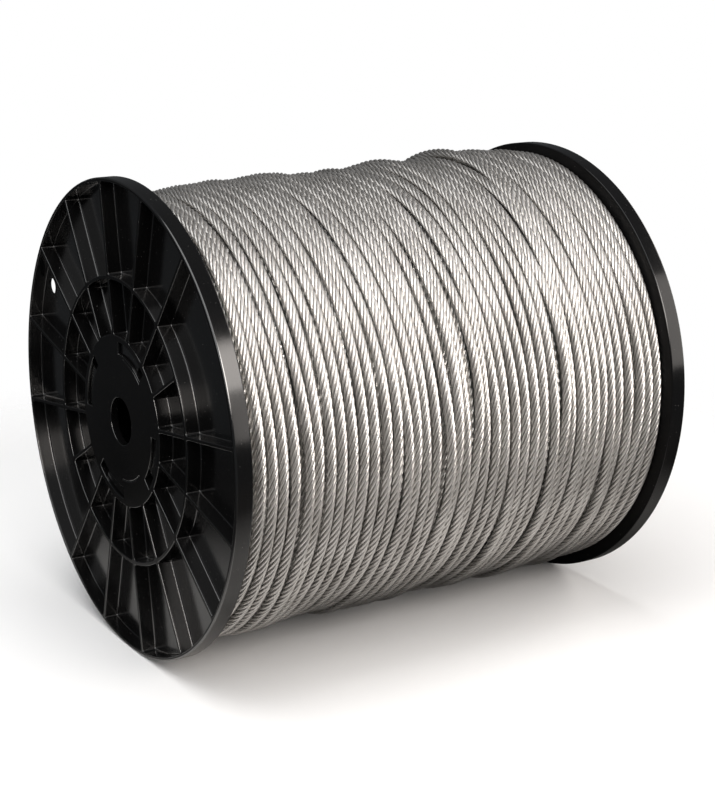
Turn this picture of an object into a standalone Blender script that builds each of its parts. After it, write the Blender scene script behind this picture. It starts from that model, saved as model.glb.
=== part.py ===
"""Moulded plastic reel wound with steel wire rope, lying on the rims of its two flanges.

Units are metres and +Z is up. The reel's axis runs along X, and the origin is on the floor below its middle.
An angle on a flange is read from outside the reel, anticlockwise from the right-hand side.
"""

import math

import bmesh
import bpy

# Reel, overall
FLANGE_RADIUS = 0.125
FLANGE_DEPTH = 0.0092
WINDING_WIDTH = 0.254

# Flange moulding
WEB_THICKNESS = 0.0015
RIM_WALL = 0.0019
RIM_CHAMFER = 0.0006
RIB_THICKNESS = 0.0019
RIB_COUNT = 16
FIRST_RIB_ANGLE = 7.5
RING_RADIUS = 0.0745
RING_WALL = 0.0019
HUB_PLATE = 0.004
HUB_WALL = 0.002
SPINDLE_BORE_RADIUS = 0.0125

# The ribs that stop at the ring, counted from the first rib
SHORT_RIBS = (1, 9)

# Hole for a rope's end, in the web
ROPE_HOLE_RADIUS = 0.0046
ROPE_HOLE_INSET = 0.0081
ROPE_HOLE_ANGLE = 153.0

# Barrel and the bayonet lugs that hold it in the hubs
BARREL_RADIUS = 0.0427
BARREL_WALL = 0.003
LUG_COUNT = 4
LUG_INSET = 0.0013
LUG_THICKNESS = 0.0053
LUG_SPAN = 32.0
LUG_MIDDLE_ANGLE = 73.5
LUG_RECESS = 0.0015
LUG_ROOT = 0.008
WINDOW_SPAN = 43.0
WINDOW_MIDDLE_ANGLE = 69.0

# Rope and its winding
ROPE_DIAMETER = 0.0052
COIL_RADIUS = 0.1178
FIRST_TURN_DROP = 0.0083
LAYER_PITCH_SHARE = 0.87
GROOVE_SHARE = 0.3

# Gaps
FIT_GAP = 0.0003
WINDOW_GAP = 0.0005
CUT_PAST = 0.001

# Facets
FLANGE_SIDES = 64
COIL_SIDES = 28
HOLE_SIDES = 16
ARC_STEP = 6.0

# Derived sizes
HALF_WIDTH = WINDING_WIDTH / 2 + FLANGE_DEPTH
AXIS_HEIGHT = FLANGE_RADIUS * math.cos(math.pi / FLANGE_SIDES)
SOCKET_RADIUS = BARREL_RADIUS + FIT_GAP
HUB_RADIUS = SOCKET_RADIUS + HUB_WALL
LUG_OUTER_RADIUS = BARREL_RADIUS - LUG_INSET
LUG_INNER_RADIUS = LUG_OUTER_RADIUS - LUG_THICKNESS
BARREL_HALF_LENGTH = HALF_WIDTH - HUB_PLATE - FIT_GAP
RIM_INNER_RADIUS = FLANGE_RADIUS - RIM_WALL
FLOOR_DEPTH = FLANGE_DEPTH - WEB_THICKNESS


def clear_scene():
    for thing in list(bpy.data.objects):
        bpy.data.objects.remove(thing, do_unlink=True)


def plastic(name, colour):
    material = bpy.data.materials.new(name)
    material.use_nodes = True
    shader = material.node_tree.nodes["Principled BSDF"]
    shader.inputs["Base Color"].default_value = (*colour, 1.0)
    shader.inputs["Roughness"].default_value = 0.3
    return material


def steel(name, colour):
    material = bpy.data.materials.new(name)
    material.use_nodes = True
    shader = material.node_tree.nodes["Principled BSDF"]
    shader.inputs["Base Color"].default_value = (*colour, 1.0)
    shader.inputs["Metallic"].default_value = 1.0
    shader.inputs["Roughness"].default_value = 0.35
    return material


def object_from(name, mesh_builder, material=None):
    """A new object whose mesh is what the builder holds, with its normals outwards and its round faces smooth."""
    bmesh.ops.recalc_face_normals(mesh_builder, faces=mesh_builder.faces)
    mesh = bpy.data.meshes.new(name)
    mesh_builder.to_mesh(mesh)
    mesh_builder.free()
    mesh.shade_smooth()
    mesh.set_sharp_from_angle(angle=math.radians(30))
    thing = bpy.data.objects.new(name, mesh)
    bpy.context.scene.collection.objects.link(thing)
    if material:
        mesh.materials.append(material)
    return thing


def turned(mesh_builder, profile, sides):
    """A ring turned about X from a closed profile of (x, radius) points, with a flat side at the bottom."""
    rings = []
    for x, radius in profile:
        angles = [2 * math.pi * (i + 0.5) / sides for i in range(sides)]
        rings.append([mesh_builder.verts.new((x, -radius * math.cos(a), radius * math.sin(a))) for a in angles])
    for ring, following in zip(rings, rings[1:] + rings[:1]):
        for i in range(sides):
            j = (i + 1) % sides
            mesh_builder.faces.new((ring[i], ring[j], following[j], following[i]))


def radius_around(clear_radius, sides):
    """Corner radius of a many-sided hole whose flat sides stay at clear_radius."""
    return clear_radius / math.cos(math.pi / sides)


def prism(mesh_builder, outline, near_x, far_x):
    """A solid between two x planes from a closed outline of (y, z) points."""
    near = [mesh_builder.verts.new((near_x, y, z)) for y, z in outline]
    far = [mesh_builder.verts.new((far_x, y, z)) for y, z in outline]
    mesh_builder.faces.new(near)
    mesh_builder.faces.new(far)
    for i in range(len(outline)):
        j = (i + 1) % len(outline)
        mesh_builder.faces.new((near[i], near[j], far[j], far[i]))


def arc(radius, first, last):
    """(y, z) points on a flange from one angle to the other, in degrees."""
    steps = max(1, round(abs(last - first) / ARC_STEP))
    angles = [math.radians(first + (last - first) * i / steps) for i in range(steps + 1)]
    return [(-radius * math.cos(a), radius * math.sin(a)) for a in angles]


def sector(inner_radius, outer_radius, first, last, side_gap=0.0):
    """Outline between two radii and two angles, its straight sides set in by side_gap."""
    inner_turn = math.degrees(math.asin(side_gap / inner_radius))
    outer_turn = math.degrees(math.asin(side_gap / outer_radius))
    outer = arc(outer_radius, first + outer_turn, last - outer_turn)
    inner = arc(inner_radius, last - inner_turn, first + inner_turn)
    return outer + inner


def cut_with(thing, cutter, operation="DIFFERENCE"):
    """Booleans the cutter into the thing, and hides the cutter."""
    cutter.hide_render = True
    cutter.display_type = "WIRE"
    modifier = thing.modifiers.new("cut" if operation == "DIFFERENCE" else "join", "BOOLEAN")
    modifier.operation = operation
    modifier.solver = "EXACT"
    modifier.object = cutter


def rib_angle(index):
    return FIRST_RIB_ANGLE + 360.0 / RIB_COUNT * index


def pocket_outlines():
    """The pockets between the ribs: one row inside the ring and one outside it."""
    half_rib = RIB_THICKNESS / 2
    ring_inside = RING_RADIUS - RING_WALL / 2
    ring_outside = RING_RADIUS + RING_WALL / 2
    outlines = []
    for i in range(RIB_COUNT):
        outlines.append(sector(HUB_RADIUS, ring_inside, rib_angle(i), rib_angle(i + 1), half_rib))
    long_ribs = [i for i in range(RIB_COUNT) if i not in SHORT_RIBS]
    for i, following in zip(long_ribs, long_ribs[1:] + [long_ribs[0] + RIB_COUNT]):
        outlines.append(sector(ring_outside, RIM_INNER_RADIUS, rib_angle(i), rib_angle(following), half_rib))
    return outlines


def window_outlines():
    """The slots in the hub plate that the barrel's lugs turn into."""
    inner_radius = LUG_INNER_RADIUS - WINDOW_GAP
    outer_radius = LUG_OUTER_RADIUS + WINDOW_GAP
    outlines = []
    for i in range(LUG_COUNT):
        middle = WINDOW_MIDDLE_ANGLE + 360.0 / LUG_COUNT * i
        outlines.append(sector(inner_radius, outer_radius, middle - WINDOW_SPAN / 2, middle + WINDOW_SPAN / 2))
    return outlines


def rope_hole_outline():
    place = RIM_INNER_RADIUS - ROPE_HOLE_INSET
    angle = math.radians(ROPE_HOLE_ANGLE)
    centre_y = -place * math.cos(angle)
    centre_z = place * math.sin(angle)
    turns = [2 * math.pi * i / HOLE_SIDES for i in range(HOLE_SIDES)]
    return [(centre_y + ROPE_HOLE_RADIUS * math.cos(t), centre_z + ROPE_HOLE_RADIUS * math.sin(t)) for t in turns]


def flange(name, material, turn):
    """One flange moulding, seen from outside at x = 0 with its depth along +X, then set at its end of the reel."""
    blank = bmesh.new()
    profile = [
        (0.0, SPINDLE_BORE_RADIUS),
        (0.0, FLANGE_RADIUS - RIM_CHAMFER),
        (RIM_CHAMFER, FLANGE_RADIUS),
        (FLANGE_DEPTH - RIM_CHAMFER, FLANGE_RADIUS),
        (FLANGE_DEPTH, FLANGE_RADIUS - RIM_CHAMFER),
        (FLANGE_DEPTH, SOCKET_RADIUS),
        (HUB_PLATE, SOCKET_RADIUS),
        (HUB_PLATE, SPINDLE_BORE_RADIUS),
    ]
    turned(blank, profile, FLANGE_SIDES)
    disc = object_from(name, blank, material)

    cuts = bmesh.new()
    for outline in pocket_outlines():
        prism(cuts, outline, -CUT_PAST, FLOOR_DEPTH)
    for outline in window_outlines():
        prism(cuts, outline, -CUT_PAST, HUB_PLATE + CUT_PAST)
    cutter = object_from(name + "_pockets", cuts)
    cut_with(disc, cutter)

    hole = bmesh.new()
    prism(hole, rope_hole_outline(), FLOOR_DEPTH - CUT_PAST, FLANGE_DEPTH + CUT_PAST)
    drill = object_from(name + "_rope_hole", hole)
    cut_with(disc, drill)

    # Both ends are the same moulding, so the right one is the left one turned half round about Y.
    for piece in (disc, cutter, drill):
        piece.location = (-HALF_WIDTH * math.cos(turn), 0.0, AXIS_HEIGHT)
        piece.rotation_euler = (0.0, turn, 0.0)
    return disc


def barrel(name, material):
    """The tube between the hubs, with bayonet lugs that reach into the windows of both flanges."""
    tube = bmesh.new()
    inner_radius = BARREL_RADIUS - BARREL_WALL
    profile = [
        (-BARREL_HALF_LENGTH, inner_radius),
        (-BARREL_HALF_LENGTH, BARREL_RADIUS),
        (BARREL_HALF_LENGTH, BARREL_RADIUS),
        (BARREL_HALF_LENGTH, inner_radius),
    ]
    turned(tube, profile, FLANGE_SIDES)
    body = object_from(name, tube, material)

    lugs = bmesh.new()
    near_x = HALF_WIDTH - LUG_RECESS
    far_x = BARREL_HALF_LENGTH - LUG_ROOT
    for i in range(LUG_COUNT):
        middle = LUG_MIDDLE_ANGLE + 360.0 / LUG_COUNT * i
        outline = sector(LUG_INNER_RADIUS, LUG_OUTER_RADIUS, middle - LUG_SPAN / 2, middle + LUG_SPAN / 2)
        prism(lugs, outline, -near_x, -far_x)
        prism(lugs, [(y, -z) for y, z in outline], far_x, near_x)
    joined = object_from(name + "_lugs", lugs)
    cut_with(body, joined, "UNION")

    for piece in (body, joined):
        piece.location = (0.0, 0.0, AXIS_HEIGHT)
    return body


def end_layers(top_radius):
    """(depth, radius) points down one end of the winding, where each layer stands out above a groove."""
    bore_radius = radius_around(BARREL_RADIUS + FIT_GAP, COIL_SIDES)
    top_layer = top_radius - ROPE_DIAMETER / 2
    count = round((top_layer - bore_radius) / (LAYER_PITCH_SHARE * ROPE_DIAMETER))
    pitch = (top_layer - bore_radius) / count
    groove = GROOVE_SHARE * ROPE_DIAMETER
    points = []
    for i in range(count):
        points.append((0.0, top_layer - pitch * i))
        points.append((groove, top_layer - pitch * (i + 0.5)))
    points.append((groove, bore_radius))
    return points


def coil_profile():
    """Section of the winding: a groove between turns on its outside, and between layers on its ends."""
    half_width = WINDING_WIDTH / 2 - FIT_GAP
    turn_count = round(2 * half_width / ROPE_DIAMETER)
    turn_pitch = 2 * half_width / turn_count
    first_crest = COIL_RADIUS - FIRST_TURN_DROP

    outside = []
    for i in range(turn_count):
        crest = first_crest if i == 0 else COIL_RADIUS
        outside.append((-half_width + turn_pitch * (i + 0.5), crest))
        if i < turn_count - 1:
            valley = crest - GROOVE_SHARE * ROPE_DIAMETER
            outside.append((-half_width + turn_pitch * (i + 1), valley))

    right_end = [(half_width - depth, radius) for depth, radius in end_layers(COIL_RADIUS)]
    left_end = [(depth - half_width, radius) for depth, radius in reversed(end_layers(first_crest))]
    return outside + right_end + left_end


def coil(name, material):
    """The wound rope as one turned solid."""
    winding = bmesh.new()
    turned(winding, coil_profile(), COIL_SIDES)
    body = object_from(name, winding, material)
    body.location = (0.0, 0.0, AXIS_HEIGHT)
    return body


def main():
    clear_scene()
    black = plastic("black_plastic", (0.016, 0.016, 0.017))
    zinc = steel("galvanised_steel", (0.62, 0.61, 0.59))
    flange("left_flange", black, 0.0)
    flange("right_flange", black, math.pi)
    barrel("barrel", black)
    coil("rope_winding", zinc)


main()
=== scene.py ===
"""The look of a moulded plastic reel wound with galvanised wire rope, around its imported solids.

Metres, +Z up, reel axis along X. An angle on the reel is in degrees, seen from its left end and
anticlockwise from the right-hand side, so 0 is the front, 90 the top and 180 the back.
"""

import math
import random

import bmesh
import bpy
import numpy as np
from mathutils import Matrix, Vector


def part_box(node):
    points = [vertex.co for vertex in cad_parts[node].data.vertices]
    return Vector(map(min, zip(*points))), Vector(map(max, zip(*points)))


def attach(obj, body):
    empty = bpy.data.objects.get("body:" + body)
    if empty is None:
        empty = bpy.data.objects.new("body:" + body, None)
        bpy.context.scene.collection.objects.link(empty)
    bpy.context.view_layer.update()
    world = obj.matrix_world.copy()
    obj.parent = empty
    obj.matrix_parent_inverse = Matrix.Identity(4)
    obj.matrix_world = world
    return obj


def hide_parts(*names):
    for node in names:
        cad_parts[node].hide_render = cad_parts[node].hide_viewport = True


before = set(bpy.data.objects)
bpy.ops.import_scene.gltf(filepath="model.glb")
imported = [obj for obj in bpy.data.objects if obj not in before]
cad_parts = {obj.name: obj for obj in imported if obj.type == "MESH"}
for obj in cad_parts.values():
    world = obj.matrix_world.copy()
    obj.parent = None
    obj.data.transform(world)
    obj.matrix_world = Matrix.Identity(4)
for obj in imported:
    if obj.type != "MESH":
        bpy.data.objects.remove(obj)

bpy.ops.object.select_all(action="DESELECT")


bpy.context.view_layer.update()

# Places that come from the frame
FLANGE_LOW, FLANGE_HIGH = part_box("left_flange")
OUTER_X = FLANGE_LOW.x
INNER_X = FLANGE_HIGH.x
AXIS_Z = (FLANGE_LOW.z + FLANGE_HIGH.z) / 2
REEL_RADIUS = (FLANGE_HIGH.z - FLANGE_LOW.z) / 2

# Flange moulding, and the barrel that its hub holds
BARREL_RADIUS = 0.0427
WEB_THICKNESS = 0.0015
RIM_WALL = 0.0019
RIM_ROUND = 0.0009
RIB_THICKNESS = 0.0019
RIB_COUNT = 16
FIRST_RIB_ANGLE = 7.5
SHORT_RIB = 1
RING_RADIUS = 0.0745
RING_WALL = 0.0019
HUB_PLATE = 0.004
HUB_WALL = 0.002
TURNED_RADIUS = 0.032
BORE_RADIUS = 0.0125
WINDOW_RADII = (0.0356, 0.0419)
WINDOW_SPAN = 43.0
WINDOW_MIDDLE = 69.0
WINDOW_COUNT = 4
# Ledges turned into the hub: radius, middle angle and span
LEDGES = ((0.0342, 64.0, 34.0), (0.0313, 290.0, 40.0))
LEDGE_WIDTH = 0.0005
LEDGE_DEPTH = 0.0004
ROPE_HOLE_RADIUS = 0.0046
ROPE_HOLE_PLACE = 0.115
ROPE_HOLE_ANGLE = 153.0
FIT_GAP = 0.0003
CUT_PAST = 0.001
HUB_RADIUS = BARREL_RADIUS + FIT_GAP + HUB_WALL
FILLET = 0.0006
CORNER_FILLET = 0.0012
EDGE_ROUND = 0.00035
SAME_PLACE = 0.00002
RIM_SIDES = 192
POCKET_SIDES = 96
HOLE_SIDES = 32
SLOT_STEPS = 10
# Length of a rib's cutter, in radii of its row
BAR_LENGTH = 2.2
# Angles between faces, in degrees, from which an edge is rounded or stays crisp in the shading
ROUNDED_FROM = 40.0
MOUTH_FROM = 60.0
FLANGE_CRISP = 50.0
ROPE_CRISP = 60.0
BED_CRISP = 40.0


# Modelling by hand


def on_reel(x, radius, angle):
    """The point at this place along the axis, this far from it and at this angle in radians."""
    return (x, -radius * math.cos(angle), AXIS_Z + radius * math.sin(angle))


def placed(name):
    """The new primitive, named, with its place and turn moved into its mesh."""
    piece = bpy.context.object
    piece.name = name
    bpy.ops.object.transform_apply(location=True, rotation=True, scale=True)
    piece.select_set(False)
    return piece


def drum(name, radius, near_x, far_x, sides):
    """A cylinder on the reel's axis."""
    bpy.ops.mesh.primitive_cylinder_add(
        vertices=sides,
        radius=radius,
        depth=far_x - near_x,
        location=((near_x + far_x) / 2, 0.0, AXIS_Z),
        rotation=(0.0, math.pi / 2, 0.0),
    )
    return placed(name)


def finish_with(piece, kind, **settings):
    """Adds one modifier to the piece and applies it."""
    modifier = piece.modifiers.new(kind.lower(), kind)
    for key, value in settings.items():
        setattr(modifier, key, value)
    bpy.context.view_layer.objects.active = piece
    bpy.ops.object.modifier_apply(modifier=modifier.name)


def cut(piece, tool):
    """Cuts the tool's shape out of the piece and throws the tool away."""
    finish_with(piece, "BOOLEAN", operation="DIFFERENCE", solver="EXACT", object=tool)
    bpy.data.objects.remove(tool, do_unlink=True)


def round_edges(piece, width, segments):
    finish_with(
        piece,
        "BEVEL",
        width=width,
        segments=segments,
        limit_method="ANGLE",
        angle_limit=math.radians(ROUNDED_FROM),
        use_clamp_overlap=False,
    )


def edit(piece):
    bpy.context.view_layer.objects.active = piece
    piece.select_set(True)
    bpy.ops.object.mode_set(mode="EDIT")


def leave_edit(piece):
    bpy.ops.object.mode_set(mode="OBJECT")
    piece.select_set(False)


def round_some(piece, wanted, width, segments):
    """Rounds only the edges that the test picks out."""
    edit(piece)
    bpy.ops.mesh.select_mode(type="EDGE")
    bpy.ops.mesh.select_all(action="DESELECT")
    shape = bmesh.from_edit_mesh(piece.data)
    for edge in shape.edges:
        if wanted(edge):
            edge.select_set(True)
    bmesh.update_edit_mesh(piece.data)
    bpy.ops.mesh.bevel(offset=width, segments=segments, affect="EDGES")
    leave_edit(piece)


def shade_smooth(piece, crisp):
    """Smooth shading, apart from edges sharper than this many degrees."""
    piece.select_set(True)
    bpy.ops.object.shade_smooth_by_angle(angle=math.radians(crisp))
    piece.select_set(False)


def wall_corner(edge):
    """Whether the edge is a corner between two walls of a pocket."""
    run = edge.verts[1].co - edge.verts[0].co
    return abs(run.x) > 0.9 * run.length and edge.calc_face_angle() > math.radians(ROUNDED_FROM)


def mouth_edge(edge):
    """Whether the edge is a sharp one in the flange's outer face, where a pocket or hole opens."""
    in_face = all(abs(corner.co.x - OUTER_X) < SAME_PLACE for corner in edge.verts)
    return in_face and len(edge.link_faces) == 2 and edge.calc_face_angle() > math.radians(MOUTH_FROM)


def pocket_row(inner_radius, outer_radius, bars):
    """Cutter for one row of pockets: a washer less the ribs across it, with all its corners rounded."""
    mouth_x = OUTER_X - CUT_PAST
    floor_x = INNER_X - WEB_THICKNESS
    row = drum("pocket_row", outer_radius, mouth_x, floor_x, POCKET_SIDES)
    cut(row, drum("row_middle", inner_radius, mouth_x - CUT_PAST, floor_x + CUT_PAST, POCKET_SIDES))
    for number in bars:
        bpy.ops.mesh.primitive_cube_add(
            size=1.0,
            location=((mouth_x + floor_x) / 2, 0.0, AXIS_Z),
            rotation=(-math.radians(FIRST_RIB_ANGLE + 360.0 / RIB_COUNT * number), 0.0, 0.0),
            scale=(2 * (floor_x - mouth_x), BAR_LENGTH * outer_radius, RIB_THICKNESS),
        )
        cut(row, placed("rib_bar"))
    round_some(row, wall_corner, CORNER_FILLET, 3)
    round_edges(row, FILLET, 3)
    return row


def curved_slot(inner, outer, depth, middle_angle, span):
    """Cutter for a slot that bends round the hub: a small upright plane spun about the reel's axis."""
    near_x = OUTER_X - CUT_PAST
    far_x = OUTER_X + depth
    start = math.radians(middle_angle - span / 2)
    bpy.ops.mesh.primitive_plane_add(
        size=1.0,
        location=on_reel((near_x + far_x) / 2, (inner + outer) / 2, start),
        rotation=(-start, 0.0, 0.0),
    )
    bpy.context.object.scale = (far_x - near_x, outer - inner, 1.0)
    slot = placed("curved_slot")
    edit(slot)
    bpy.ops.mesh.select_all(action="SELECT")
    bpy.ops.mesh.spin(
        steps=SLOT_STEPS,
        angle=math.radians(span),
        center=(0.0, 0.0, AXIS_Z),
        axis=(1.0, 0.0, 0.0),
    )
    bpy.ops.mesh.select_all(action="SELECT")
    bpy.ops.mesh.normals_make_consistent(inside=False)
    leave_edit(slot)
    return slot


def left_flange():
    """The near flange: a disc with its pockets, barrel socket, bore, windows and rope hole cut out."""
    disc = drum("left_flange_moulding", REEL_RADIUS, OUTER_X, INNER_X, RIM_SIDES)
    round_edges(disc, RIM_ROUND, 3)
    half_count = RIB_COUNT // 2
    cut(disc, pocket_row(HUB_RADIUS, RING_RADIUS - RING_WALL / 2, range(half_count)))
    outer_bars = [number for number in range(half_count) if number != SHORT_RIB]
    cut(disc, pocket_row(RING_RADIUS + RING_WALL / 2, REEL_RADIUS - RIM_WALL, outer_bars))
    socket_x = OUTER_X + HUB_PLATE
    cut(disc, drum("socket", BARREL_RADIUS + FIT_GAP, socket_x, INNER_X + CUT_PAST, POCKET_SIDES))
    cut(disc, drum("bore", BORE_RADIUS, OUTER_X - CUT_PAST, INNER_X, POCKET_SIDES))
    for number in range(WINDOW_COUNT):
        middle = WINDOW_MIDDLE + 360.0 / WINDOW_COUNT * number
        cut(disc, curved_slot(*WINDOW_RADII, HUB_PLATE + CUT_PAST, middle, WINDOW_SPAN))
    for radius, middle, span in LEDGES:
        radii = (radius - LEDGE_WIDTH / 2, radius + LEDGE_WIDTH / 2)
        cut(disc, curved_slot(*radii, LEDGE_DEPTH, middle, span))
    bpy.ops.mesh.primitive_cylinder_add(
        vertices=HOLE_SIDES,
        radius=ROPE_HOLE_RADIUS,
        depth=4 * WEB_THICKNESS,
        location=on_reel(INNER_X, ROPE_HOLE_PLACE, math.radians(ROPE_HOLE_ANGLE)),
        rotation=(0.0, math.pi / 2, 0.0),
    )
    cut(disc, placed("rope_hole"))
    round_some(disc, mouth_edge, EDGE_ROUND, 2)
    shade_smooth(disc, FLANGE_CRISP)
    finish_with(disc, "WEIGHTED_NORMAL", keep_sharp=True)
    return disc


def right_flange(near):
    """The same moulding at the far end, turned half round, with its own mesh."""
    near.select_set(True)
    bpy.context.view_layer.objects.active = near
    bpy.ops.object.duplicate(linked=False)
    far = bpy.context.object
    far.location = (0.0, 0.0, 2 * AXIS_Z)
    far.rotation_euler = (0.0, math.pi, 0.0)
    return placed("right_flange_moulding")


# Rope: its diameter, the length of one lay, and its strands
ROPE = 0.0052
LAY = 5.4 * ROPE
STRANDS = 6
STRAND_RADIUS = ROPE / 6
STRAND_PLACE = ROPE / 3
# Share of the full depth that the grooves between the strands have
LOBE_DEPTH = 0.82
# Each outer layer's name, its pieces, corners round the rope and rings in a lay
LAYERS = (
    ("lower", 2, 18, 6),
    ("upper", 4, 30, 10),
)

# Winding: the points in a turn, and the place under the reel where they start
COLUMNS = 96
FIRST_COLUMN_ANGLE = 262.0
WIND_SEED = 11
# Mean pitch of a layer, the closest that its turns lie, and how much its gaps come and go
LOWER_PITCH = 1.03 * ROPE
LOWER_CLOSEST = 1.03 * ROPE
LOWER_LOOSENESS = 0.02 * ROPE
UPPER_PITCH = 1.14 * ROPE
UPPER_CLOSEST = 0.94 * ROPE
UPPER_LOOSENESS = 0.07 * ROPE
# Irregular lines: how many sines, the slowest and the fastest, in waves a turn
GAP_WAVES = (14, 0.3, 4.3)
SIDE_WAVES = (12, 2.3, 7.7)
SIDE_WANDER = 0.035 * ROPE
# Share of a turn in which it steps over to the next, and in which the second turn climbs from the first
CROSSING = 0.18
CLIMB = 0.3
# Distance between the middles of turns that touch, and radii of the lower layer and of its first turn
CONTACT = 0.97 * ROPE
BED_RADIUS = 0.1108
FIRST_TURN_RADIUS = 0.1069
# The layers below: radii at the left end and elsewhere, how far the bed stays inside them, and its step
UNDER_END_RADIUS = 0.1045
UNDER_RADIUS = 0.1084
UNDER_INSET = ROPE / 4
STEP_FOOT = 1.2 * ROPE
STEP_TOP = 1.8 * ROPE
# Lumps in the layers below: place along the axis, angle, height, reach along the axis and in degrees
LUMPS = (
    (-0.113, 100, -0.0048, 0.014, 60),
    (-0.041, 100, 0.0026, 0.010, 55),
    (-0.047, 62, -0.0020, 0.008, 22),
    (-0.010, 100, -0.0004, 0.010, 45),
    (0.032, 100, 0.0044, 0.010, 50),
    (0.052, 100, 0.0022, 0.009, 42),
    (0.072, 100, 0.0050, 0.011, 44),
    (0.093, 102, 0.0062, 0.012, 42),
    (0.116, 108, 0.0050, 0.011, 32),
    (-0.070, 40, 0.0010, 0.012, 40),
    (0.012, 20, -0.0010, 0.012, 45),
    (0.058, 10, 0.0012, 0.010, 40),
    (0.100, 0, -0.0012, 0.014, 50),
    (-0.030, 330, 0.0012, 0.012, 50),
    (-0.092, 278, 0.0024, 0.014, 30),
    (-0.054, 276, -0.0022, 0.012, 30),
    (-0.020, 280, 0.0026, 0.012, 30),
    (0.012, 276, -0.0022, 0.010, 26),
    (0.036, 280, 0.0034, 0.009, 28),
    (0.055, 276, -0.0024, 0.007, 24),
    (0.070, 280, 0.0036, 0.008, 26),
    (0.086, 276, -0.0026, 0.006, 22),
    (0.102, 280, 0.0026, 0.008, 26),
)
# Where the outer turns have slipped sideways: place, angle, shift, reach along the axis and in degrees
SLIPS = (
    (0.080, 62, -0.0032, 0.010, 24),
    (0.093, 8, -0.0018, 0.009, 30),
    (0.052, 335, 0.0020, 0.009, 26),
    (0.028, 40, -0.0020, 0.009, 26),
    (-0.014, 350, 0.0024, 0.009, 30),
    (-0.036, 74, -0.0026, 0.009, 26),
    (-0.060, 20, 0.0018, 0.008, 24),
    (-0.082, 318, -0.0018, 0.009, 26),
    (-0.096, 70, 0.0020, 0.009, 26),
    (0.110, 320, -0.0018, 0.008, 26),
    (0.020, 200, 0.0024, 0.010, 40),
    (-0.050, 160, -0.0024, 0.010, 36),
    (0.070, 150, 0.0026, 0.010, 36),
)


def column_angle(column):
    return math.radians(FIRST_COLUMN_ANGLE) + column * 2 * math.pi / COLUMNS


def waver(length, strength, waves, chance):
    """A smooth irregular line: a sum of sines of the turn number."""
    parts, slowest, fastest = waves
    turn = np.arange(length) / COLUMNS
    line = np.zeros(length)
    for _ in range(parts):
        rate = chance.uniform(slowest, fastest)
        start = chance.uniform(0, 2 * math.pi)
        line += strength * chance.uniform(0.5, 1.0) * np.sin(2 * math.pi * rate * turn + start)
    return line


def eased(values, reach):
    """The running mean along the rope, taken three times."""
    share = np.ones(2 * reach + 1) / (2 * reach + 1)
    for _ in range(3):
        values = np.convolve(np.pad(values, reach, mode="edge"), share, mode="valid")
    return values


def turns_done(progress):
    """Whole turns laid, with a smooth step over to the next in the last part of each turn."""
    step = np.clip((progress % 1.0 - 1.0 + CROSSING) / CROSSING, 0.0, 1.0)
    return np.floor(progress) + step * step * (3 - 2 * step)


def side_by_side(start_x, end_x, turns, closest, looseness, chance):
    """Each turn is laid beside the one before it, touching it or with a gap that comes and goes."""
    length = turns * COLUMNS + 1
    mean = (end_x - start_x) / (turns - 1)
    way = math.copysign(1.0, mean)
    gap = abs(mean) + waver(length, looseness, GAP_WAVES, chance)
    gap = eased(np.maximum(gap, min(closest, abs(mean))), 2)
    progress = np.arange(length) / COLUMNS
    even = start_x + mean * turns_done(progress)
    x = even.copy()
    for column in range(COLUMNS, length):
        x[column] = x[column - COLUMNS] + way * gap[column]
    drift = (x - even)[-COLUMNS - 1:-1]
    x = x - progress / turns * drift[np.arange(length) % COLUMNS]
    return np.clip(eased(x, 2), min(start_x, end_x), max(start_x, end_x))


def spread(places, x, angle):
    """The sum of a list of local humps, each fading out along the axis and round the reel."""
    total = np.zeros_like(x)
    for middle_x, middle_angle, most, reach, span in places:
        turn = np.remainder(np.degrees(angle) - middle_angle + 180, 360) - 180
        total += most * np.exp(-((x - middle_x) / reach) ** 2 - (turn / span) ** 2)
    return total


def settled(x, below):
    """How far out each point of a layer comes to lie on the turns laid before it, its own too."""
    radius = np.full_like(x, BED_RADIUS)
    for column, place in enumerate(x):
        laid = below[column % COLUMNS]
        turns = np.array(laid)
        aside = np.abs(turns[:, 0] - place)
        near = aside < CONTACT
        if near.any():
            rise = turns[near, 1] + np.sqrt(CONTACT**2 - aside[near] ** 2)
            radius[column] = max(radius[column], rise.max())
        laid.append((place, radius[column]))
    return radius


def winding():
    """Centre lines of the two outer layers, as places along the axis and distances from it."""
    chance = random.Random(WIND_SEED)
    low_x = INNER_X + ROPE / 2 + FIT_GAP
    high_x = -INNER_X - ROPE / 2 - FIT_GAP

    turns = int((high_x - low_x) / LOWER_PITCH) + 1
    x = side_by_side(low_x, high_x, turns, LOWER_CLOSEST, LOWER_LOOSENESS, chance)
    points = np.arange(len(x))
    rise = np.clip((points / COLUMNS - 1.0) / CLIMB, 0.0, 1.0)
    radius = FIRST_TURN_RADIUS + (BED_RADIUS - FIRST_TURN_RADIUS) * rise
    radius = eased(radius + spread(LUMPS, x, column_angle(points)) * rise, 3)
    lower = (x, radius)
    below = [list(zip(x[column::COLUMNS], radius[column::COLUMNS])) for column in range(COLUMNS)]

    turns = int((high_x - low_x) / UPPER_PITCH) + 1
    x = side_by_side(high_x, low_x, turns, UPPER_CLOSEST, UPPER_LOOSENESS, chance)
    x += spread(SLIPS, x, column_angle(np.arange(len(x))))
    x += waver(len(x), SIDE_WANDER, SIDE_WAVES, chance)
    x = np.clip(eased(x, 1), low_x, high_x)
    return lower, (x, eased(settled(x, below), 3))


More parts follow.
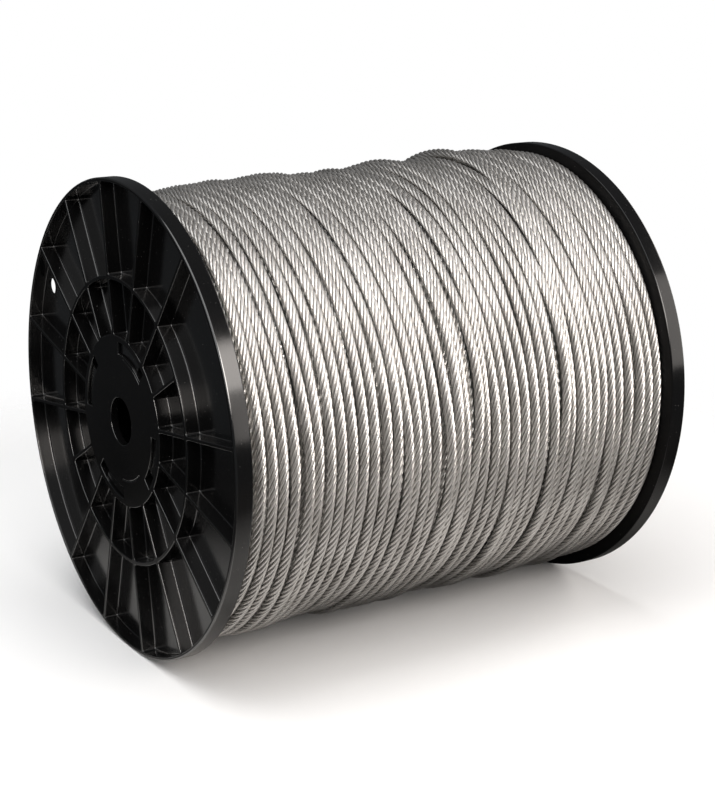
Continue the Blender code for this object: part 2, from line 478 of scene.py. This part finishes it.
def one_lay(name, around, rings, length):
    """One lay of six-strand rope along X: a lobed ring, screwed right-handed through a full turn."""
    bpy.ops.mesh.primitive_circle_add(vertices=around, radius=ROPE / 2, rotation=(0.0, math.pi / 2, 0.0))
    piece = placed(name)
    edit(piece)
    shape = bmesh.from_edit_mesh(piece.data)
    per_strand = around // STRANDS
    for step in range(per_strand):
        off = abs(step / per_strand - 0.5) * 2 * math.pi / STRANDS
        reach = STRAND_PLACE * math.cos(off)
        reach += math.sqrt(max(STRAND_RADIUS**2 - (STRAND_PLACE * math.sin(off)) ** 2, 0.0))
        reach = ROPE / 2 - LOBE_DEPTH * (ROPE / 2 - reach)
        for number, corner in enumerate(shape.verts):
            corner.select_set(number % per_strand == step)
        bmesh.update_edit_mesh(piece.data)
        share = 2 * reach / ROPE
        bpy.ops.transform.resize(value=(1.0, share, share), center_override=(0.0, 0.0, 0.0))
    leave_edit(piece)
    finish_with(
        piece,
        "SCREW",
        axis="X",
        angle=2 * math.pi,
        screw_offset=length,
        steps=rings,
        render_steps=rings,
        use_smooth_shade=True,
        use_merge_vertices=False,
    )
    shade_smooth(piece, ROPE_CRISP)
    return piece


def map_strands(piece, length):
    """A UV map along the strands: one unit across for each strand, one along for each lay."""
    layer = piece.data.uv_layers.new(name="strands")
    corners = piece.data.vertices
    for face in piece.data.polygons:
        places = []
        for loop in face.loop_indices:
            spot = corners[piece.data.loops[loop].vertex_index].co
            along = spot.x / length
            across = (math.atan2(spot.z, spot.y) / (2 * math.pi) - along) * STRANDS % STRANDS
            places.append((loop, across, along))
        widest = max(across for _, across, _ in places)
        for loop, across, along in places:
            if widest - across > STRANDS / 2:
                across += STRANDS
            layer.data[loop].uv = (across, along)


def laid_rope(name, path, around, rings):
    """A stretch of rope along the path: one lay repeated in an array, then bent along the curve."""
    run = sum(math.dist(a, b) for a, b in zip(path, path[1:]))
    lays = round(run / LAY)
    length = run / lays
    piece = one_lay(name, around, rings, length)
    map_strands(piece, length)
    finish_with(
        piece,
        "ARRAY",
        count=lays,
        use_relative_offset=False,
        use_constant_offset=True,
        constant_offset_displace=(length, 0.0, 0.0),
        use_merge_vertices=True,
        merge_threshold=SAME_PLACE,
    )
    edit(piece)
    bpy.ops.mesh.select_all(action="SELECT")
    bpy.ops.mesh.fill_holes(sides=0)
    bpy.ops.mesh.normals_make_consistent(inside=False)
    leave_edit(piece)
    guide = bpy.data.curves.new("rope_path", "CURVE")
    guide.dimensions = "3D"
    line = guide.splines.new("POLY")
    line.points.add(len(path) - 1)
    for point, place in zip(line.points, path):
        point.co = (*place, 1.0)
    guide = bpy.data.objects.new("rope_path", guide)
    bpy.context.scene.collection.objects.link(guide)
    finish_with(piece, "CURVE", object=guide, deform_axis="POS_X")
    bpy.data.objects.remove(guide, do_unlink=True)
    return piece


def rope_pieces():
    """The two outer layers, in stretches that meet under the reel."""
    pieces = []
    for (label, parts, around, rings), (x, radius) in zip(LAYERS, winding()):
        turns = (len(x) - 1) // COLUMNS
        ends = [COLUMNS * round(turns * part / parts) for part in range(parts + 1)]
        for part in range(parts):
            columns = range(ends[part], ends[part + 1] + 1)
            path = [on_reel(x[column], radius[column], column_angle(column)) for column in columns]
            pieces.append(laid_rope(f"rope_{label}_layer_{part + 1}", path, around, rings))
    return pieces


def under_layers():
    """The layers below, which show only as a bed between the turns, dark with painted shade."""
    near_x = INNER_X + FIT_GAP
    low = drum("rope_under_layers", UNDER_END_RADIUS - UNDER_INSET, near_x, -near_x, POCKET_SIDES)
    edit(low)
    for place in (STEP_FOOT, STEP_TOP):
        bpy.ops.mesh.select_all(action="SELECT")
        bpy.ops.mesh.bisect(plane_co=(near_x + place, 0.0, 0.0), plane_no=(1.0, 0.0, 0.0))
    bpy.ops.mesh.select_all(action="DESELECT")
    shape = bmesh.from_edit_mesh(low.data)
    for corner in shape.verts:
        corner.select_set(corner.co.x > near_x + (STEP_FOOT + STEP_TOP) / 2)
    bmesh.update_edit_mesh(low.data)
    grow = UNDER_RADIUS / UNDER_END_RADIUS
    bpy.ops.transform.resize(value=(1.0, grow, grow), center_override=(0.0, 0.0, AXIS_Z))
    leave_edit(low)
    ends = (near_x - CUT_PAST, -near_x + CUT_PAST)
    cut(low, drum("barrel_space", BARREL_RADIUS + FIT_GAP, *ends, POCKET_SIDES))
    shade_smooth(low, BED_CRISP)
    return low


# Materials
WHITE = (1.0, 1.0, 1.0)
BLACK = (0.0, 0.0, 0.0)
# Distance between the turning marks on the hub
TURNING_PITCH = 0.0012


class Finish:
    """A material under construction, with short words for wiring its nodes."""

    def __init__(self, name):
        self.material = bpy.data.materials.new(name)
        self.material.use_nodes = True
        self.tree = self.material.node_tree
        self.shader = self.tree.nodes["Principled BSDF"]

    def node(self, kind, **settings):
        made = self.tree.nodes.new(kind)
        for key, value in settings.items():
            setattr(made, key, value)
        return made

    def feed(self, socket, value):
        if isinstance(value, bpy.types.NodeSocket):
            self.tree.links.new(value, socket)
        else:
            socket.default_value = value

    def sum(self, operation, first, second=0.0):
        made = self.node("ShaderNodeMath", operation=operation)
        self.feed(made.inputs[0], first)
        self.feed(made.inputs[1], second)
        return made.outputs[0]

    def place(self):
        return self.node("ShaderNodeTexCoord").outputs["Object"]

    def axes(self, vector):
        made = self.node("ShaderNodeSeparateXYZ")
        self.feed(made.inputs[0], vector)
        return made.outputs

    def noise(self, place, scale, detail=3.0, rough=0.5):
        made = self.node("ShaderNodeTexNoise")
        self.feed(made.inputs["Vector"], place)
        made.inputs["Scale"].default_value = scale
        made.inputs["Detail"].default_value = detail
        made.inputs["Roughness"].default_value = rough
        return made.outputs["Fac"]

    def ramp(self, value, *stops):
        made = self.node("ShaderNodeValToRGB")
        self.feed(made.inputs["Fac"], value)
        elements = made.color_ramp.elements
        while len(elements) < len(stops):
            elements.new(0.5)
        for element, (place, colour) in zip(elements, stops):
            element.position = place
            element.color = (*colour, 1.0)
        return made.outputs["Color"]

    def blend(self, kind, share, first, second):
        made = self.node("ShaderNodeMix", data_type="RGBA", blend_type=kind)
        self.feed(made.inputs["Factor"], share)
        self.feed(made.inputs["A"], first)
        self.feed(made.inputs["B"], second)
        return made.outputs["Result"]

    def bump(self, height, distance, strength, under=None):
        made = self.node("ShaderNodeBump")
        self.feed(made.inputs["Height"], height)
        made.inputs["Distance"].default_value = distance
        made.inputs["Strength"].default_value = strength
        if under:
            self.feed(made.inputs["Normal"], under)
        return made.outputs["Normal"]

    def give(self, **sockets):
        for name, value in sockets.items():
            self.feed(self.shader.inputs[name.replace("_", " ")], value)


def moulded_plastic():
    """Black moulded plastic: satin faces, polished edges, flow marks, scuffs, dust and a turned hub."""
    finish = Finish("moulded_black_plastic")
    place = finish.place()
    flow = finish.noise(place, 16.0, 2.0)
    scuff = finish.noise(place, 450.0, 4.0, 0.65)
    dust = finish.ramp(finish.noise(place, 1100.0, 1.0), (0.76, BLACK), (0.82, WHITE))
    black = finish.ramp(flow, (0.3, (0.003, 0.003, 0.0031)), (0.7, (0.0055, 0.0053, 0.0054)))
    colour = finish.blend("MIX", dust, black, (0.16, 0.155, 0.15, 1.0))
    # Distance from the reel's axis, and the rings that a lathe leaves on the hub
    axes = finish.axes(place)
    up = finish.sum("SUBTRACT", axes["Z"], AXIS_Z)
    across = axes["Y"]
    squares = finish.sum("ADD", finish.sum("MULTIPLY", up, up), finish.sum("MULTIPLY", across, across))
    radius = finish.sum("SQRT", squares)
    rings = finish.sum("SINE", finish.sum("MULTIPLY", radius, 2 * math.pi / TURNING_PITCH))
    marks = finish.sum("MULTIPLY", rings, finish.sum("LESS_THAN", radius, TURNED_RADIUS))
    # The flat outer face and the wall towards the rope are satin
    end_x = finish.sum("ABSOLUTE", axes["X"])
    outside = finish.sum("GREATER_THAN", end_x, -OUTER_X - EDGE_ROUND / 8)
    inside = finish.sum("LESS_THAN", end_x, -INNER_X + EDGE_ROUND)
    satin = finish.sum("ADD", outside, inside)
    # The rounded mouths and the corners at the floors of the pockets are polished
    mouth = finish.sum("GREATER_THAN", end_x, -OUTER_X - RIM_ROUND)
    floor_x = -INNER_X + WEB_THICKNESS
    off_floor = finish.sum("GREATER_THAN", end_x, floor_x + EDGE_ROUND / 8)
    low = finish.sum("LESS_THAN", end_x, floor_x + 1.3 * FILLET)
    pocket = finish.sum("LESS_THAN", radius, REEL_RADIUS - RIM_WALL / 2)
    corner = finish.sum("MULTIPLY", finish.sum("MULTIPLY", off_floor, low), pocket)
    polished = finish.sum("MULTIPLY", finish.sum("ADD", mouth, corner), 0.9)
    polished = finish.sum("MULTIPLY", polished, finish.sum("SUBTRACT", 1.0, satin))
    shine = finish.sum("SUBTRACT", finish.sum("ADD", polished, 0.5), finish.sum("MULTIPLY", satin, 0.4))
    rough = finish.sum("ADD", finish.sum("MULTIPLY", flow, 0.08), finish.sum("MULTIPLY", scuff, 0.06))
    rough = finish.sum("ADD", rough, finish.sum("MULTIPLY", satin, 0.2))
    rough = finish.sum("ADD", rough, 0.08)
    normal = finish.bump(scuff, 0.00003, 0.3)
    normal = finish.bump(marks, 0.00002, 0.5, normal)
    finish.give(Base_Color=colour, Roughness=rough, Specular_IOR_Level=shine, Normal=normal)
    return finish.material


def galvanised_wire():
    """Zinc-coated steel wire: strands of fine wires that run nearly along the rope."""
    finish = Finish("galvanised_wire")
    axes = finish.axes(finish.node("ShaderNodeUVMap", uv_map="strands").outputs["UV"])
    turns = finish.sum("ADD", axes["X"], finish.sum("MULTIPLY", axes["Y"], STRANDS))
    wires = finish.sum("ABSOLUTE", finish.sum("SINE", finish.sum("MULTIPLY", turns, 3 * math.pi)))
    place = finish.place()
    cloud = finish.noise(place, 60.0)
    grime = finish.noise(place, 700.0)
    zinc = finish.ramp(cloud, (0.3, (0.53, 0.515, 0.495)), (0.7, (0.69, 0.675, 0.655)))
    # Painted shade: the grooves between the strands are darker
    off_groove = finish.sum("PINGPONG", axes["X"], 0.5)
    shade = finish.ramp(off_groove, (0.04, (0.45, 0.44, 0.43)), (0.17, WHITE))
    colour = finish.blend("MULTIPLY", 1.0, zinc, shade)
    rough = finish.sum("ADD", finish.sum("MULTIPLY", grime, 0.18), 0.31)
    normal = finish.bump(wires, 0.0001, 0.4)
    finish.give(Base_Color=colour, Metallic=0.94, Roughness=rough, Normal=normal)
    return finish.material


def hidden_wire():
    """The rope of the layers below, darkened with painted shade, as it lies deep between the turns."""
    finish = Finish("hidden_wire")
    turns = finish.noise(finish.place(), 260.0)
    # Painted shade: the colour is near black all over
    colour = finish.ramp(turns, (0.35, (0.03, 0.03, 0.03)), (0.7, (0.10, 0.098, 0.095)))
    finish.give(Base_Color=colour, Metallic=0.6, Roughness=0.5)
    return finish.material


def dress(piece, material):
    piece.data.materials.clear()
    piece.data.materials.append(material)
    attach(piece, "root")


# Studio
CAMERA_PLACE = (-0.4953, -0.8008, 0.3753)
CAMERA_YAW = 32.126
CAMERA_PITCH = 15.377
CAMERA_LENS = 79.2
SENSOR_WIDTH = 36.0
NEAREST_SEEN = 0.01
FLOOR_RADIUS = 0.55
FLOOR_FADE = 0.34
FLOOR_SIDES = 128
WARM = (1.0, 0.94, 0.89)
ROOM_COLOUR = (0.9, 0.95, 1.0)
ROOM_STRENGTH = 0.075


def camera():
    data = bpy.data.cameras.new("camera")
    data.lens = CAMERA_LENS
    data.sensor_width = SENSOR_WIDTH
    data.clip_start = NEAREST_SEEN
    view = bpy.data.objects.new("camera", data)
    view.location = CAMERA_PLACE
    view.rotation_euler = (math.radians(90 - CAMERA_PITCH), 0.0, -math.radians(CAMERA_YAW))
    bpy.context.scene.collection.objects.link(view)
    bpy.context.scene.camera = view


def pale_floor():
    """White to the camera and fading out. The reel mirrors it grey, with a painted shadow that darkens it
    to the right and a painted pool of light only near the reel, in front and on the left.
    """
    finish = Finish("pale_floor")
    place = finish.place()
    grain = finish.noise(place, 9.0, 2.0)
    pale = finish.ramp(grain, (0.0, (0.91, 0.91, 0.91)), (1.0, (0.94, 0.94, 0.94)))
    away = finish.node("ShaderNodeVectorMath", operation="LENGTH")
    finish.feed(away.inputs[0], place)
    away = away.outputs["Value"]
    axes = finish.axes(place)
    # Painted shadow: the floor that the reel mirrors darkens to the right, where the reel's shadow falls
    to_right = finish.sum("ADD", finish.sum("MULTIPLY", axes["X"], 3.0), 0.4)
    grey = finish.ramp(to_right, (0.1, (0.70, 0.685, 0.665)), (1.0, (0.42, 0.41, 0.40)))
    # Painted pool of light: the mirrored floor is lit only near the reel, and only in front and on the
    # left
    edge = finish.ramp(away, (0.19, WHITE), (0.29, BLACK))
    to_front = finish.sum("MULTIPLY", axes["Y"], -4.0)
    to_left = finish.sum("MULTIPLY", axes["X"], -4.0)
    painted_lit_area = finish.sum("MAXIMUM", to_front, to_left)
    painted_lit_area = finish.ramp(painted_lit_area, (0.28, (0.12, 0.12, 0.12)), (0.48, WHITE))
    mirrored = finish.blend("MULTIPLY", 1.0, finish.blend("MULTIPLY", 1.0, grey, edge), painted_lit_area)
    seen = finish.node("ShaderNodeLightPath").outputs["Is Camera Ray"]
    finish.give(Base_Color=finish.blend("MIX", seen, mirrored, pale), Roughness=0.8)
    fade = finish.node("ShaderNodeMapRange", interpolation_type="SMOOTHSTEP")
    finish.feed(fade.inputs["Value"], away)
    fade.inputs["From Min"].default_value = FLOOR_FADE
    fade.inputs["From Max"].default_value = FLOOR_RADIUS
    fade.inputs["To Min"].default_value = 1.0
    fade.inputs["To Max"].default_value = 0.0
    finish.give(Alpha=fade.outputs["Result"])
    return finish.material


def floor():
    bpy.ops.mesh.primitive_circle_add(vertices=FLOOR_SIDES, radius=FLOOR_RADIUS, fill_type="NGON")
    ground = placed("floor")
    ground.data.materials.append(pale_floor())


def softbox(name, place, turn, size, radiance, colour=WHITE, mirrored=True, matt=True):
    """An evenly bright rectangle unseen by the camera, which lights mirroring or matt surfaces or both."""
    data = bpy.data.lights.new(name, "AREA")
    data.shape = "RECTANGLE"
    data.size, data.size_y = size
    data.energy = radiance * math.pi * size[0] * size[1]
    data.color = colour
    lamp = bpy.data.objects.new(name, data)
    lamp.location = place
    lamp.rotation_euler = [math.radians(value) for value in turn]
    lamp.visible_camera = False
    lamp.visible_glossy = mirrored
    lamp.visible_diffuse = matt
    bpy.context.scene.collection.objects.link(lamp)


def surroundings():
    """White behind the reel, and a dim room for everything that the reel mirrors."""
    world = bpy.data.worlds.new("studio")
    world.use_nodes = True
    bpy.context.scene.world = world
    tree = world.node_tree
    room = tree.nodes["Background"]
    room.inputs["Color"].default_value = (*ROOM_COLOUR, 1.0)
    room.inputs["Strength"].default_value = ROOM_STRENGTH
    white = tree.nodes.new("ShaderNodeBackground")
    white.inputs["Color"].default_value = (*WHITE, 1.0)
    white.inputs["Strength"].default_value = 1.0
    path = tree.nodes.new("ShaderNodeLightPath")
    both = tree.nodes.new("ShaderNodeMixShader")
    tree.links.new(path.outputs["Is Camera Ray"], both.inputs["Fac"])
    tree.links.new(room.outputs[0], both.inputs[1])
    tree.links.new(white.outputs[0], both.inputs[2])
    tree.links.new(both.outputs[0], tree.nodes["World Output"].inputs["Surface"])


def studio():
    """Each softbox at its place and turn in degrees, with its size and radiance."""
    surroundings()
    softbox("overhead", (-0.70, -0.72, 1.3), (0, 0, 0), (1.8, 2.1), 1.6)
    softbox("overhead_fill", (-0.35, 0.25, 1.4), (0, 0, 0), (1.4, 1.4), 2.0, mirrored=False)
    softbox("front", (0.861, -0.973, 0.61), (90, 0, 17.4), (1.15, 0.96), 2.2, WARM)
    softbox("front_left", (-0.19, -1.30, 0.78), (90, 0, 17.4), (1.05, 0.66), 4.6, WARM)
    softbox("front_upper", (-0.14, -1.28, 0.89), (90, 0, 17.4), (1.95, 0.6), 6.4, WARM, matt=False)
    softbox("right_upper", (1.25, -0.10, 0.80), (63, 0, 85), (0.9, 0.45), 4.0, WARM)
    softbox("right", (1.25, 0.25, 0.34), (90, 0, 90), (1.7, 0.5), 0.8)
    softbox("left", (-1.5, -0.35, 0.68), (90, 0, -90), (1.1, 0.7), 1.2)
    bpy.context.scene.view_settings.view_transform = "Standard"


def main():
    camera()
    plastic = moulded_plastic()
    wire = galvanised_wire()
    near = left_flange()
    far = right_flange(near)
    for piece, node in ((near, "left_flange"), (far, "right_flange")):
        dress(piece, plastic)
        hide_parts(node)
    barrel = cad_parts["barrel"]
    barrel.data.materials.clear()
    barrel.data.materials.append(plastic)
    bed = under_layers()
    dress(bed, hidden_wire())
    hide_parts("rope_winding")
    for piece in rope_pieces():
        dress(piece, wire)
    floor()
    studio()


main()
